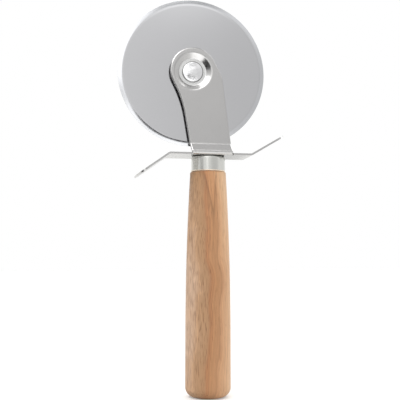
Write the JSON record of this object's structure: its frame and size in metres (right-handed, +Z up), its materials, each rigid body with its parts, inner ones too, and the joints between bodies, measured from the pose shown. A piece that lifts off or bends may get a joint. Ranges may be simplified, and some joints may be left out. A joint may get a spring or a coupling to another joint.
{
  "type": "pizza cutter wheel",
  "caption": "Hand pizza cutter: bevelled steel wheel spinning on a rivet in a stamped arm with bent finger guard, steel ferrule and turned wooden handle.",
  "frame": {"origin": "middle of the flat end of the handle's butt", "axes": "+Z up the handle's axis towards the wheel, wheel's axle along Y, arm in front of the wheel towards -Y, wing that bends up towards +X"},
  "size_m": [0.0849, 0.0228, 0.2],
  "materials": {
    "bracket_steel": "satin stamped stainless sheet",
    "wheel_steel": "smooth rolled stainless with a ground edge",
    "rivet_steel": "polished stainless",
    "ferrule_steel": "polished drawn stainless",
    "screw_steel": "plain stainless",
    "handle_wood": "oiled open-grained hardwood",
    "brass": "turned brass",
    "nylon": "natural nylon"
  },
  "bodies": {
    "frame": {"bracket": "bracket_steel", "front_washer": "nylon", "rear_washer": "nylon", "axle_rivet": "rivet_steel", "rivet_cap": "rivet_steel", "ferrule": "ferrule_steel", "handle": "handle_wood", "handle_screw": "screw_steel", "lock_washer": "screw_steel", "threaded_insert": "brass", "locating_pins": "screw_steel"},
    "wheel": {"cutting_wheel": "wheel_steel", "wheel_bush": "brass"}
  },
  "joints": [
    {"name": "wheel_spin", "type": "hinge", "parent": "frame", "child": "wheel", "pos_m": [-0.0089, -0.0032, 0.16255], "axis": [0, 1, 0], "continuous": true}
  ]
}
